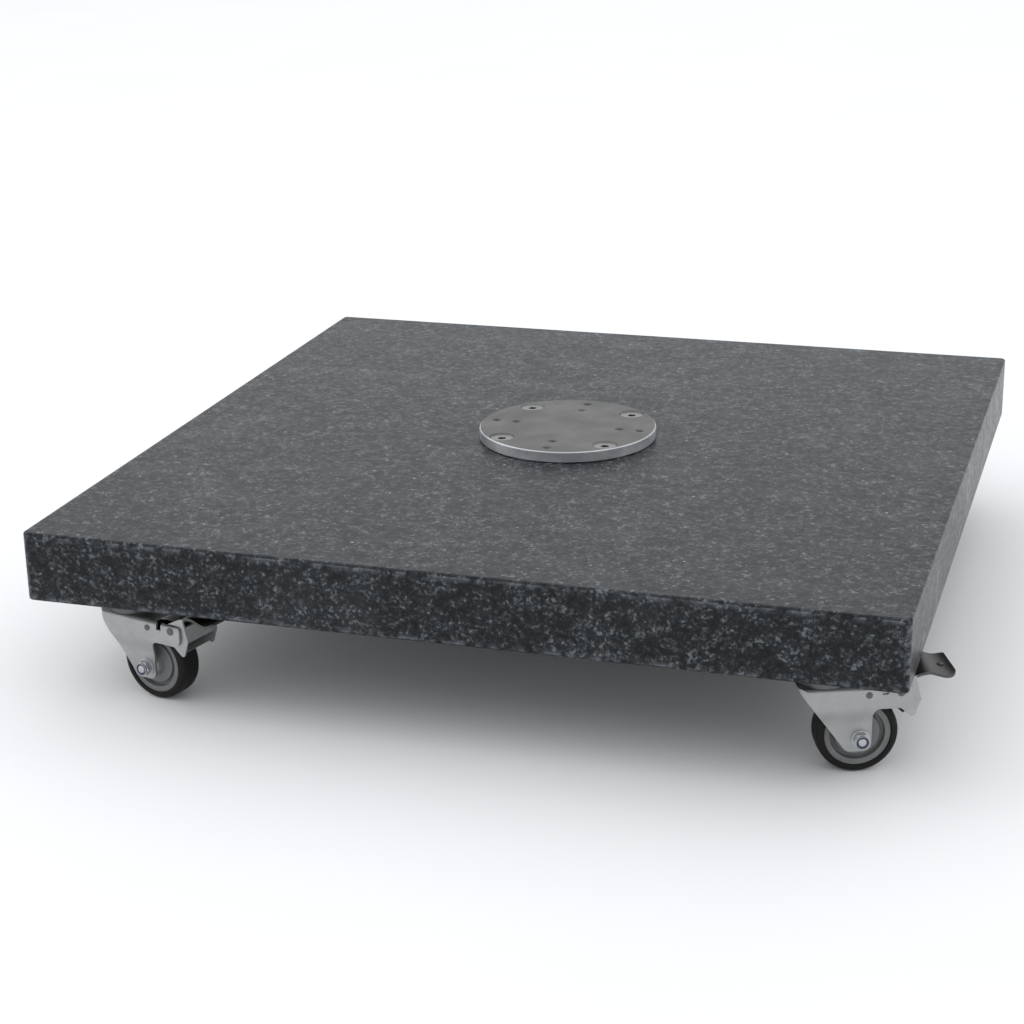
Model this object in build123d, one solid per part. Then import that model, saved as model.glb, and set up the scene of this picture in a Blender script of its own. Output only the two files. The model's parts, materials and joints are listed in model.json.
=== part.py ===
"""Mobile parasol base: a square granite slab on four braked swivel casters.

A round steel plate is bolted to the middle of the slab and takes a pole socket.
Millimetres, +Z up, origin on the floor below the centre of the slab.
Each caster is built in its own frame: the kingpin is the Z axis, the slab's underside
is Z = 0, and the wheel trails towards +X.
"""
from build123d import *
import math
import os

# Slab
SLAB_LENGTH = 850.0
SLAB_DEPTH = 850.0
SLAB_THICKNESS = 70.0
SLAB_CORNER_RADIUS = 6.0
SLAB_ARRIS = 2.5

# Mounting plate, its countersunk screws and its tapped holes
PLATE_DIAMETER = 190.0
PLATE_THICKNESS = 12.0
PLATE_CHAMFER = 1.0
SCREW_CIRCLE = 160.0
SCREW_COUNT = 4
SCREW_START_ANGLE = 45.0
SCREW_SHANK = 12.0
SCREW_HEAD = 24.0
SCREW_RECESS = 1.5
SCREW_LENGTH = 58.0
SCREW_SOCKET = 8.0
SCREW_SOCKET_DEPTH = 4.5
PLATE_HOLE_PLAY = 1.0
TAP_CIRCLES = (115.0, 160.0)
TAP_COUNT = 4
TAP_DRILL = 6.8
TAP_CHAMFER = 0.4
PLATE_ANCHOR_DIAMETER = 20.0
ANCHOR_PAST_SCREW = 3.0

# Caster positions under the slab, and the way each front caster trails
CASTER_INSET_X = 84.0
CASTER_INSET_Y = 59.0
FRONT_RIGHT_TURN = 22.5
FRONT_LEFT_TURN = -14.5

# Caster top plate and the bolts that hold it
TOP_PLATE_LENGTH = 105.0
TOP_PLATE_WIDTH = 80.0
TOP_PLATE_THICKNESS = 2.5
TOP_PLATE_CORNER = 8.0
BOLT_SPACING_X = 80.0
BOLT_SPACING_Y = 60.0
BOLT_SHANK = 8.0
BOLT_GRIP = 26.0
BOLT_HEX = 13.0
BOLT_HEAD = 5.3
BOLT_HOLE_PLAY = 1.0
WASHER_THICKNESS = 1.5
WASHER_DIAMETER = 17.0
ANCHOR_DIAMETER = 14.0
ANCHOR_PAST_BOLT = 4.0

# Swivel head
HEAD_HEIGHT = 19.0
KINGPIN_DIAMETER = 12.0
KINGPIN_HEAD = 22.0
KINGPIN_HEAD_HEIGHT = 5.0
KINGPIN_NUT_HEX = 19.0
KINGPIN_WASHER = 23.0
KINGPIN_NUT_HEIGHT = 6.5
RACE_INNER = 32.0
RACE_OUTER = 50.0
RACE_GAP = 1.4
BALL_DIAMETER = 5.0
BALL_COUNT = 16
BUSH_WALL = 3.5
BUSH_FLANGE = 2.4
BUSH_FLANGE_WIDTH = 3.5

# Wheel
WHEEL_DIAMETER = 76.2
TREAD_WIDTH = 27.0
TYRE_SHOULDER = 5.0
TYRE_HEIGHT = 7.4
RIM_RECESS = 1.5
RIM_WALL = 5.5
GROOVE_WIDTH = 4.0
DISC_RECESS = 3.0
WEB_WIDTH = 12.0
HUB_DIAMETER = 23.0
BEARING_DIAMETER = 17.0
BEARING_LENGTH = 12.0
BEARING_FLANGE = 1.5
BEARING_FLANGE_WIDTH = 2.5
SLEEVE_DIAMETER = 12.0
AXLE_DIAMETER = 8.0
AXLE_HEX = 13.0
AXLE_HEAD = 5.3
AXLE_NUT = 6.3
NYLON_RING = 1.7
NYLON_RING_WALL = 2.2
AXLE_PROUD = 0.4

# Fork
TRAIL = 31.0
SHEET = 2.5
WHEEL_HEADROOM = 10.3
LEG_GAP = 6.5
SHOULDER_STEP = 3.0
SHOULDER_RUN = 12.0
SHOULDER_BLEND = 36.0
FORK_FRONT = 26.0
FORK_FRONT_CORNER = 10.0
FORK_BEND = 4.0
LEG_LINE_START = 27.5
LEG_FOOT_FRONT = 12.5
LEG_FOOT_REAR = 10.3
LEG_FOOT_DROP = 12.5
LEG_FOOT_CORNER = 8.0
ARM_THROAT = 7.0
ARM_DEPTH = 21.5
ARM_BEYOND_PIN = 11.0
ARM_LOWER_CORNER = 8.0
ARM_UPPER_CORNER = 5.0
CROWN_BEYOND_AXLE = 12.0
NOTCH_WIDTH = 5.5
NOTCH_DEPTH = 7.5
NOTCH_BEFORE_PIN = 14.5
RIVET_BEFORE_PIN = 29.0
RIVET_DROP = 7.6
RIVET_DIAMETER = 4.0
RIVET_HEAD = 6.0
PIN_DIAMETER = 6.0
PIN_HEAD = 7.5
PIN_HEAD_HEIGHT = 0.8

# Brake pedal: its pin is placed from the tread, and its pad is shaped with the brake on
PIN_OFF_TREAD = 18.8
PIN_BEARING_ANGLE = 51.9
CHEEK_THICKNESS = 2.0
CHEEK_EYE = 15.0
BRAKE_ANGLE = 14.0
BRAKE_CONTACT_GAP = 0.3
PAD_THICKNESS = 6.0
PAD_WIDTH = 24.0
PAD_ANGLE = 36.0
PAD_SPAN = 18.0
CARRIER_THICKNESS = 2.5
CARRIER_SPAN = 20.0
PEDAL_CORNER = 6.0
FOOT_LENGTH = 36.0
FOOT_START = 3.0
FOOT_HALF_WIDTH = 24.5
FOOT_THICKNESS = 2.2
FOOT_FLANGE = 2.8
FOOT_CORNER = 6.0
FOOT_LEVEL = 7.0
FOOT_INSIDE_CHEEKS = 5.0
FOOT_DIP = 3.5
FOOT_RISE = 5.0
FOOT_WAVE = ((0.0, 1.0), (0.28, 0.0), (0.64, 1.0), (1.0, 0.5))
FOOT_FLARE_RUN = 8.0
LIP_REACH = 0.5
LIP_DROP = 23.0
LIP_WINDOW = 8.0
LIP_MIDDLE_REACH = 2.0
LIP_MIDDLE_SHARE = 0.8

# Clearances
RUNNING = 0.05
BALL_CLEARANCE = 0.06
SIDE_PLAY = 0.3
CHEEK_PLAY = 0.5
CUT = 1.0

# Levels and places that follow from the sizes above
CROWN_UNDERSIDE = -(HEAD_HEIGHT + SHEET)
WHEEL_RADIUS = WHEEL_DIAMETER / 2
CORE_RADIUS = WHEEL_RADIUS - TYRE_HEIGHT
AXLE_Z = CROWN_UNDERSIDE - WHEEL_HEADROOM - WHEEL_RADIUS
CASTER_HEIGHT = WHEEL_RADIUS - AXLE_Z
SLAB_TOP = CASTER_HEIGHT + SLAB_THICKNESS
PLATE_TOP = SLAB_TOP + PLATE_THICKNESS
LEG_INNER = TREAD_WIDTH / 2 + LEG_GAP
LEG_OUTER = LEG_INNER + SHEET
SHOULDER_OUTER = LEG_OUTER + SHOULDER_STEP
SHOULDER_INNER = SHOULDER_OUTER - SHEET
PIN_RADIUS = WHEEL_RADIUS + PIN_OFF_TREAD
PIN_X = TRAIL + PIN_RADIUS * math.cos(math.radians(PIN_BEARING_ANGLE))
PIN_Z = AXLE_Z + PIN_RADIUS * math.sin(math.radians(PIN_BEARING_ANGLE))
ARM_END = PIN_X + ARM_BEYOND_PIN
ARM_LOWER = -(HEAD_HEIGHT + ARM_DEPTH)
LEG_BOTTOM = AXLE_Z - LEG_FOOT_DROP
CHEEK_OUTER = SHOULDER_INNER - CHEEK_PLAY
CHEEK_INNER = CHEEK_OUTER - CHEEK_THICKNESS
BALL_LEVEL = -(TOP_PLATE_THICKNESS + HEAD_HEIGHT) / 2
BALL_CIRCLE = (RACE_INNER + RACE_OUTER) / 2
BUSH_DIAMETER = KINGPIN_DIAMETER + 2 * BUSH_WALL
BUSH_LOW = CROWN_UNDERSIDE - BUSH_FLANGE
HUB_END = LEG_INNER - SIDE_PLAY
NUT_SEAT = LEG_OUTER + WASHER_THICKNESS
FOOT_ROOT = ARM_END + FOOT_START
FOOT_TIP = FOOT_ROOT + FOOT_LENGTH
RIVET_X = PIN_X - RIVET_BEFORE_PIN
RIVET_Z = -HEAD_HEIGHT - RIVET_DROP
PAD_INNER = WHEEL_RADIUS + BRAKE_CONTACT_GAP
CARRIER_INNER = PAD_INNER + PAD_THICKNESS
LIP_TOP_X = FOOT_ROOT - PEDAL_CORNER / 2
LIP_TOP_Z = -FOOT_LEVEL - FOOT_DIP - PEDAL_CORNER / 2 - FOOT_THICKNESS / 2
LIP_MIDDLE_X = FOOT_ROOT + LIP_MIDDLE_REACH
LIP_MIDDLE_Z = LIP_TOP_Z - LIP_DROP * LIP_MIDDLE_SHARE


def bar(diameter, low, high, x=0.0, y=0.0):
    """A vertical round bar between two heights."""
    return Pos(x, y, (low + high) / 2) * Cylinder(diameter / 2, high - low)


def hex_bar(across_flats, low, high, x=0.0, y=0.0):
    """A vertical hexagonal bar between two heights."""
    section = RegularPolygon(across_flats / 2, 6, major_radius=False)
    return Pos(x, y, low) * extrude(section, high - low)


def across(shape, x, z):
    """Lays a vertical shape along Y, its +Z end towards -Y, at a place in the side view."""
    return Pos(x, 0, z) * Rot(90, 0, 0) * shape


def side_slab(outline, start, end):
    """A plate in the side view (X, Z), between two offsets along Y."""
    return Pos(0, end, 0) * extrude(Plane.XZ * outline, end - start)


def on_circle(diameter, count, start_angle=0.0):
    """Points spread evenly round a circle."""
    turns = [math.radians(start_angle + 360 * index / count) for index in range(count)]
    return [(diameter / 2 * math.cos(turn), diameter / 2 * math.sin(turn)) for turn in turns]


def rounded_outline(points, radii):
    """A closed outline with its own radius at each corner; 0 leaves the corner sharp."""
    outline = make_face(Polyline(*points, close=True))
    for point, radius in zip(points, radii):
        if radius > 0:
            corner = outline.vertices().sort_by_distance((point[0], point[1], 0))[0]
            outline = fillet(corner, radius)
    return outline


def corners(spacing_x, spacing_y):
    """The four corners of a bolt rectangle."""
    return [(x * spacing_x / 2, y * spacing_y / 2) for x in (-1, 1) for y in (-1, 1)]


def countersunk_cone(top_level, top_diameter, low_diameter):
    """A right-angled countersink, widest at its top."""
    depth = (top_diameter - low_diameter) / 2
    return Pos(0, 0, top_level - depth / 2) * Cone(low_diameter / 2, top_diameter / 2, depth)


# Where each caster stands: name, kingpin X, kingpin Y, direction of trail in degrees
KINGPIN_X = SLAB_LENGTH / 2 - CASTER_INSET_X
KINGPIN_Y = SLAB_DEPTH / 2 - CASTER_INSET_Y
CASTERS = [
    ("front_right", KINGPIN_X, -KINGPIN_Y, FRONT_RIGHT_TURN),
    ("front_left", -KINGPIN_X, -KINGPIN_Y, FRONT_LEFT_TURN),
    ("back_left", -KINGPIN_X, KINGPIN_Y, FRONT_RIGHT_TURN + 180),
    ("back_right", KINGPIN_X, KINGPIN_Y, FRONT_LEFT_TURN + 180),
]


def stand(shape, x, y, turn):
    """Moves a piece from a caster's own frame to its place under the slab."""
    return Pos(x, y, CASTER_HEIGHT) * Rot(0, 0, turn) * shape


def bolt_places():
    """Every caster bolt, seen from above; the top plates stay square to the slab."""
    holes = corners(BOLT_SPACING_X, BOLT_SPACING_Y)
    return [(x + hole[0], y + hole[1]) for _, x, y, _ in CASTERS for hole in holes]


def granite_slab():
    slab = Pos(0, 0, (CASTER_HEIGHT + SLAB_TOP) / 2) * Box(SLAB_LENGTH, SLAB_DEPTH, SLAB_THICKNESS)
    slab = fillet(slab.edges().filter_by(Axis.Z), SLAB_CORNER_RADIUS)
    rims = slab.faces().filter_by(Axis.Z).edges()
    slab = fillet(rims, SLAB_ARRIS)
    for x, y in on_circle(SCREW_CIRCLE, SCREW_COUNT, SCREW_START_ANGLE):
        slab -= bar(PLATE_ANCHOR_DIAMETER, plate_anchor_low(), SLAB_TOP + CUT, x, y)
    for x, y in bolt_places():
        anchor_top = CASTER_HEIGHT + BOLT_GRIP + ANCHOR_PAST_BOLT
        slab -= bar(ANCHOR_DIAMETER, CASTER_HEIGHT - CUT, anchor_top, x, y)
    return slab


def plate_screw_top():
    return PLATE_TOP - SCREW_RECESS


def plate_anchor_low():
    return plate_screw_top() - SCREW_LENGTH - ANCHOR_PAST_SCREW


def mounting_plate():
    plate = bar(PLATE_DIAMETER, SLAB_TOP, PLATE_TOP)
    plate = chamfer(plate.edges().filter_by(GeomType.CIRCLE), PLATE_CHAMFER)
    rim = SCREW_HEAD + 2 * SCREW_RECESS
    for x, y in on_circle(SCREW_CIRCLE, SCREW_COUNT, SCREW_START_ANGLE):
        plate -= Pos(x, y, 0) * countersunk_cone(PLATE_TOP, rim, SCREW_SHANK)
        plate -= bar(SCREW_SHANK + PLATE_HOLE_PLAY, SLAB_TOP - CUT, PLATE_TOP, x, y)
    for circle in TAP_CIRCLES:
        for x, y in on_circle(circle, TAP_COUNT):
            plate -= bar(TAP_DRILL, SLAB_TOP - CUT, PLATE_TOP + CUT, x, y)
            mouth = TAP_DRILL + 2 * TAP_CHAMFER
            plate -= Pos(x, y, 0) * countersunk_cone(PLATE_TOP, mouth, TAP_DRILL)
    return plate


def plate_screws():
    top = plate_screw_top()
    screw = countersunk_cone(top, SCREW_HEAD, SCREW_SHANK) + bar(SCREW_SHANK, top - SCREW_LENGTH, top)
    screw -= hex_bar(SCREW_SOCKET, top - SCREW_SOCKET_DEPTH, top + CUT)
    return [Pos(x, y, 0) * screw for x, y in on_circle(SCREW_CIRCLE, SCREW_COUNT, SCREW_START_ANGLE)]


def plate_anchors():
    sleeve = bar(PLATE_ANCHOR_DIAMETER, plate_anchor_low(), SLAB_TOP)
    sleeve -= bar(SCREW_SHANK, plate_screw_top() - SCREW_LENGTH, SLAB_TOP + CUT)
    return [Pos(x, y, 0) * sleeve for x, y in on_circle(SCREW_CIRCLE, SCREW_COUNT, SCREW_START_ANGLE)]


def caster_bolts():
    seat = CASTER_HEIGHT - TOP_PLATE_THICKNESS
    head = seat - WASHER_THICKNESS
    bolt = bar(BOLT_SHANK, head, CASTER_HEIGHT + BOLT_GRIP) + hex_bar(BOLT_HEX, head - BOLT_HEAD, head)
    washer = bar(WASHER_DIAMETER, head, seat) - bar(BOLT_SHANK, head - CUT, seat + CUT)
    return [Pos(x, y, 0) * piece for x, y in bolt_places() for piece in (bolt, washer)]


def caster_anchors():
    top = CASTER_HEIGHT + BOLT_GRIP
    sleeve = bar(ANCHOR_DIAMETER, CASTER_HEIGHT, top + ANCHOR_PAST_BOLT)
    sleeve -= bar(BOLT_SHANK, CASTER_HEIGHT - CUT, top)
    return [Pos(x, y, 0) * sleeve for x, y in bolt_places()]


def kingpins():
    """Each kingpin with its washer and nut, below the fork's bush."""
    head_top = -SIDE_PLAY
    washer_top = BUSH_LOW - SIDE_PLAY
    nut_top = washer_top - WASHER_THICKNESS
    nut_low = nut_top - KINGPIN_NUT_HEIGHT
    pin = bar(KINGPIN_HEAD, head_top - KINGPIN_HEAD_HEIGHT, head_top)
    pin += bar(KINGPIN_DIAMETER, nut_low, head_top)
    washer = bar(KINGPIN_WASHER, nut_top, washer_top)
    nut = washer + hex_bar(KINGPIN_NUT_HEX, nut_low, nut_top)
    nut -= bar(KINGPIN_DIAMETER, nut_low - CUT, washer_top + CUT)
    return [stand(piece, x, y, 0) for _, x, y, _ in CASTERS for piece in (pin, nut)]


def swivel_balls():
    balls = []
    for _, x, y, _ in CASTERS:
        for ball_x, ball_y in on_circle(BALL_CIRCLE, BALL_COUNT):
            ball = Pos(ball_x, ball_y, BALL_LEVEL) * Sphere(BALL_DIAMETER / 2)
            balls.append(stand(ball, x, y, 0))
    return balls


def ball_groove():
    return Pos(0, 0, BALL_LEVEL) * Torus(BALL_CIRCLE / 2, BALL_DIAMETER / 2 + BALL_CLEARANCE)


def top_plate():
    """The plate under the slab, pressed down in the middle to make the upper race."""
    plate = Box(TOP_PLATE_LENGTH, TOP_PLATE_WIDTH, TOP_PLATE_THICKNESS)
    plate = Pos(0, 0, -TOP_PLATE_THICKNESS / 2) * plate
    plate = fillet(plate.edges().filter_by(Axis.Z), TOP_PLATE_CORNER)
    plate += bar(RACE_OUTER, BALL_LEVEL + RACE_GAP / 2, -TOP_PLATE_THICKNESS / 2)
    plate -= bar(KINGPIN_HEAD + 2 * RUNNING, -SIDE_PLAY - KINGPIN_HEAD_HEIGHT, CUT)
    plate -= bar(KINGPIN_DIAMETER, BALL_LEVEL, CUT)
    plate -= ball_groove()
    for x, y in corners(BOLT_SPACING_X, BOLT_SPACING_Y):
        plate -= bar(BOLT_SHANK + BOLT_HOLE_PLAY, -TOP_PLATE_THICKNESS - CUT, CUT, x, y)
    return plate


def lower_race():
    race = bar(RACE_OUTER, -HEAD_HEIGHT, BALL_LEVEL - RACE_GAP / 2)
    race -= bar(RACE_INNER, -HEAD_HEIGHT - CUT, BALL_LEVEL)
    return race - ball_groove()


def swivel_bush():
    bush = bar(BUSH_DIAMETER, BUSH_LOW, -HEAD_HEIGHT)
    bush += bar(BUSH_DIAMETER + 2 * BUSH_FLANGE_WIDTH, BUSH_LOW, CROWN_UNDERSIDE)
    return bush - bar(KINGPIN_DIAMETER + 2 * RUNNING, BUSH_LOW - CUT, -HEAD_HEIGHT + CUT)


def channel_section(shoulder, leg, top, bend):
    """The fork's section across the wheel: wide at the crown, stepped in at the legs."""
    step_high = ARM_LOWER - CUT
    step_low = step_high - SHOULDER_RUN
    right = [(shoulder, top), (shoulder, step_high), (leg, step_low), (leg, LEG_BOTTOM - CUT)]
    left = [(-y, z) for y, z in reversed(right)]
    blends = [bend, SHOULDER_BLEND, SHOULDER_BLEND, 0]
    return rounded_outline(left + right, blends[::-1] + blends)


def fork_side():
    """The fork's outline seen from the side of the wheel."""
    points = [
        (-LEG_LINE_START, -HEAD_HEIGHT),
        (TRAIL - LEG_FOOT_FRONT, LEG_BOTTOM),
        (TRAIL + LEG_FOOT_REAR, LEG_BOTTOM),
        (TRAIL + LEG_FOOT_REAR, ARM_LOWER),
        (ARM_END, ARM_LOWER),
        (ARM_END, -HEAD_HEIGHT),
    ]
    radii = [0, LEG_FOOT_CORNER, LEG_FOOT_CORNER, ARM_THROAT, ARM_LOWER_CORNER, ARM_UPPER_CORNER]
    return rounded_outline(points, radii)


def fork_plan(inset):
    """The fork's full height, cut to the crown's outline seen from above."""
    front = -FORK_FRONT + inset
    side = SHOULDER_OUTER - inset
    corner = FORK_FRONT_CORNER - inset
    rear = ARM_END + CUT
    points = [(rear, -side), (rear, side), (front, side), (front, -side)]
    outline = rounded_outline(points, [0, 0, corner, corner])
    return Pos(0, 0, LEG_BOTTOM - CUT) * extrude(outline, CUT - HEAD_HEIGHT - LEG_BOTTOM)


def fork():
    """One pressed sheet: crown, wrapped front, two legs for the axle and two arms for the pedal."""
    outside = channel_section(SHOULDER_OUTER, LEG_OUTER, -HEAD_HEIGHT, FORK_BEND)
    inside = channel_section(SHOULDER_INNER, LEG_INNER, CROWN_UNDERSIDE, FORK_BEND - SHEET)
    run = ARM_END + LEG_LINE_START
    channel = Pos(-LEG_LINE_START, 0, 0) * extrude(Plane.YZ * (outside - inside), run)
    side = side_slab(fork_side(), -2 * SHOULDER_OUTER, 2 * SHOULDER_OUTER)
    front_half = Pos(-LEG_LINE_START / 2, 0, (CROWN_UNDERSIDE + ARM_LOWER) / 2) * Box(
        LEG_LINE_START, 4 * SHOULDER_OUTER, CROWN_UNDERSIDE - ARM_LOWER)
    skirt = (fork_plan(0) - fork_plan(SHEET)) & front_half
    body = (channel & fork_plan(0)) + skirt
    body &= side
    opening = ARM_END + CUT - TRAIL - CROWN_BEYOND_AXLE
    opening_middle = ARM_END + CUT - opening / 2
    body -= Pos(opening_middle, 0, -HEAD_HEIGHT) * Box(opening, 2 * SHOULDER_INNER, 4 * SHEET)
    body -= bar(BUSH_DIAMETER, CROWN_UNDERSIDE - CUT, -HEAD_HEIGHT + CUT)
    notch_x = PIN_X - NOTCH_BEFORE_PIN
    body -= Pos(notch_x, 0, -HEAD_HEIGHT) * Box(NOTCH_WIDTH, 4 * SHOULDER_OUTER, 2 * NOTCH_DEPTH)
    through = 2 * SHOULDER_OUTER + CUT
    body -= across(Cylinder(AXLE_DIAMETER / 2 + RUNNING, through), TRAIL, AXLE_Z)
    body -= across(Cylinder(PIN_DIAMETER / 2, through), PIN_X, PIN_Z)
    body -= across(Cylinder(RIVET_DIAMETER / 2, through), RIVET_X, RIVET_Z)
    return body


def axle_bolt():
    end = NUT_SEAT + AXLE_NUT + NYLON_RING + AXLE_PROUD
    bolt = bar(AXLE_DIAMETER, -NUT_SEAT, end) + hex_bar(AXLE_HEX, -NUT_SEAT - AXLE_HEAD, -NUT_SEAT)
    return across(bolt, TRAIL, AXLE_Z)


def axle_nut():
    """Both axle washers, the nut and the nylon ring in its end."""
    washer = bar(WASHER_DIAMETER, LEG_OUTER, NUT_SEAT) - bar(AXLE_DIAMETER, 0, NUT_SEAT + CUT)
    nut_end = NUT_SEAT + AXLE_NUT
    nut = hex_bar(AXLE_HEX, NUT_SEAT, nut_end) - bar(AXLE_DIAMETER, 0, nut_end + CUT)
    ring_end = nut_end + NYLON_RING
    ring = bar(AXLE_DIAMETER + 2 * NYLON_RING_WALL, nut_end, ring_end)
    ring -= bar(AXLE_DIAMETER, 0, ring_end + CUT)
    pieces = [washer, mirror(washer, about=Plane.XY), nut, ring]
    return [across(piece, TRAIL, AXLE_Z) for piece in pieces]


def axle_sleeve():
    sleeve = bar(SLEEVE_DIAMETER, -LEG_INNER, LEG_INNER)
    sleeve -= bar(AXLE_DIAMETER + 2 * RUNNING, -LEG_INNER - CUT, LEG_INNER + CUT)
    return across(sleeve, TRAIL, AXLE_Z)


def pivot_pins():
    """The pedal's hinge pin and a short rivet through each side of the fork."""
    pin = bar(PIN_DIAMETER, -SHOULDER_OUTER, SHOULDER_OUTER)
    pin += bar(PIN_HEAD, SHOULDER_OUTER, SHOULDER_OUTER + PIN_HEAD_HEIGHT)
    pin += bar(PIN_HEAD, -SHOULDER_OUTER - PIN_HEAD_HEIGHT, -SHOULDER_OUTER)
    rivet = bar(RIVET_DIAMETER, SHOULDER_INNER, SHOULDER_OUTER)
    rivet += bar(RIVET_HEAD, SHOULDER_OUTER, SHOULDER_OUTER + PIN_HEAD_HEIGHT)
    rivet += bar(RIVET_HEAD, SHOULDER_INNER - PIN_HEAD_HEIGHT, SHOULDER_INNER)
    rivets = [across(side, RIVET_X, RIVET_Z) for side in (rivet, mirror(rivet, about=Plane.XY))]
    return [across(pin, PIN_X, PIN_Z)] + rivets


def tyre():
    ring = Cylinder(WHEEL_RADIUS, TREAD_WIDTH)
    ring = fillet(ring.edges().filter_by(GeomType.CIRCLE), TYRE_SHOULDER)
    ring -= Cylinder(CORE_RADIUS, TREAD_WIDTH + CUT)
    return across(ring, TRAIL, AXLE_Z)


def wheel_core():
    """Rim, web, raised disc and hub, bored for the bearings."""
    rim_width = TREAD_WIDTH - 2 * RIM_RECESS
    groove_outer = CORE_RADIUS - RIM_WALL
    core = Cylinder(CORE_RADIUS, rim_width) - Cylinder(groove_outer, rim_width + CUT)
    core += Cylinder(groove_outer + CUT, WEB_WIDTH)
    core += Cylinder(groove_outer - GROOVE_WIDTH, rim_width - DISC_RECESS)
    core += Cylinder(HUB_DIAMETER / 2, 2 * (HUB_END - BEARING_FLANGE))
    core -= Cylinder(BEARING_DIAMETER / 2, 2 * HUB_END)
    return across(core, TRAIL, AXLE_Z)


def wheel_bearings():
    """A flanged bearing bush in each end of the hub."""
    seat = HUB_END - BEARING_FLANGE
    bush = bar(BEARING_DIAMETER, seat - BEARING_LENGTH, HUB_END)
    bush += bar(BEARING_DIAMETER + 2 * BEARING_FLANGE_WIDTH, seat, HUB_END)
    bush -= bar(SLEEVE_DIAMETER + 2 * RUNNING, 0, HUB_END + CUT)
    return [across(side, TRAIL, AXLE_Z) for side in (bush, mirror(bush, about=Plane.XY))]


def off_axle(radius, degrees):
    """A point round the axle, in the side view."""
    turn = math.radians(degrees)
    return TRAIL + radius * math.cos(turn), AXLE_Z + radius * math.sin(turn)


def released(x, z):
    """A point of the pedal drawn with the brake on, turned about the pin to the brake off."""
    turn = math.radians(-BRAKE_ANGLE)
    right = x - PIN_X
    up = z - PIN_Z
    new_x = PIN_X + right * math.cos(turn) + up * math.sin(turn)
    new_z = PIN_Z - right * math.sin(turn) + up * math.cos(turn)
    return new_x, new_z


def shoe_sector(inner, thickness, span, half_width):
    """A curved block that wraps the tread with the brake on, turned to the brake off."""
    reach = 2 * (inner + thickness)
    tips = [off_axle(reach, PAD_ANGLE - span / 2), off_axle(reach, PAD_ANGLE + span / 2)]
    wedge = make_face(Polyline((TRAIL, AXLE_Z), *tips, close=True))
    ring = Pos(TRAIL, AXLE_Z) * (Circle(inner + thickness) - Circle(inner))
    block = side_slab(ring & wedge, -half_width, half_width)
    return Pos(PIN_X, 0, PIN_Z) * Rot(0, -BRAKE_ANGLE, 0) * Pos(-PIN_X, 0, -PIN_Z) * block


def brake_pad():
    return shoe_sector(PAD_INNER, PAD_THICKNESS, PAD_SPAN, PAD_WIDTH / 2)


def foot_face():
    """The foot's upper face in the side view: up from the root, over a hump, to the tip."""
    root_level = -FOOT_LEVEL - FOOT_DIP
    start = (PIN_X + FOOT_INSIDE_CHEEKS, root_level - FOOT_RISE)
    wave = [(FOOT_ROOT + FOOT_LENGTH * along, -FOOT_LEVEL - FOOT_DIP * dip) for along, dip in FOOT_WAVE]
    return [start] + wave


def foot_strip(depth):
    """The foot's wavy strip in the side view, from its upper face down, as wide as it gets."""
    upper = foot_face()
    lower = [(x, z - depth) for x, z in upper]
    ends = [Line(upper[0], lower[0]), Line(upper[-1], lower[-1])]
    outline = make_face([Spline(*upper), Spline(*lower)] + ends)
    return side_slab(outline, -FOOT_HALF_WIDTH, FOOT_HALF_WIDTH)


def foot_plan(inset):
    """The foot seen from above: as wide as the cheeks at its root, flared to the tip."""
    flare = FOOT_ROOT + FOOT_FLARE_RUN
    tip = FOOT_TIP - inset
    narrow = CHEEK_OUTER - inset
    wide = FOOT_HALF_WIDTH - inset
    side = [(PIN_X - inset, narrow), (FOOT_ROOT, narrow), (flare, wide), (tip, wide)]
    corner = FOOT_CORNER - inset
    radii = [0, 0, 0, corner]
    outline = rounded_outline(side + [(x, -y) for x, y in reversed(side)], radii + radii[::-1])
    return Pos(0, 0, ARM_LOWER) * extrude(outline, -ARM_LOWER)


def cheek_outline():
    """The pedal's side plate: its eye on the pin, the shoe carrier and the root of the foot."""
    carrier_middle = CARRIER_INNER + CARRIER_THICKNESS / 2
    discs = [Pos(PIN_X, PIN_Z) * Circle(CHEEK_EYE / 2)]
    for side in (-1, 1):
        x, z = released(*off_axle(carrier_middle, PAD_ANGLE + side * CARRIER_SPAN / 2))
        discs.append(Pos(x, z) * Circle(CARRIER_THICKNESS))
    for x, z in ((LIP_TOP_X, LIP_TOP_Z), (LIP_MIDDLE_X, LIP_MIDDLE_Z)):
        discs.append(Pos(x, z) * Circle(PEDAL_CORNER / 2))
    return make_hull([edge for disc in discs for edge in disc.edges()])


def brake_pedal():
    """One pressed pedal: two cheeks on the pin, a shoe carrier, a lip and a flanged foot."""
    pedal = side_slab(cheek_outline(), CHEEK_INNER, CHEEK_OUTER)
    pedal += mirror(pedal, about=Plane.XZ)
    pedal += shoe_sector(CARRIER_INNER, CARRIER_THICKNESS, CARRIER_SPAN, CHEEK_OUTER - CUT)
    foot_x = FOOT_ROOT + LIP_REACH
    foot_z = LIP_TOP_Z - LIP_DROP
    lip_front = [(LIP_TOP_X, LIP_TOP_Z - LIP_WINDOW), (foot_x, foot_z)]
    lip_back = [(x - FOOT_THICKNESS, z) for x, z in reversed(lip_front)]
    lip = make_face(Polyline(*lip_front, *lip_back, close=True))
    pedal += side_slab(lip, CUT - CHEEK_OUTER, CHEEK_OUTER - CUT)
    pedal += foot_strip(FOOT_THICKNESS) & foot_plan(0)
    flange = foot_plan(0) - foot_plan(FOOT_THICKNESS)
    pedal += foot_strip(FOOT_FLANGE) & flange
    return pedal - across(Cylinder(PIN_DIAMETER / 2 + RUNNING, 4 * SHOULDER_OUTER), PIN_X, PIN_Z)


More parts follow.
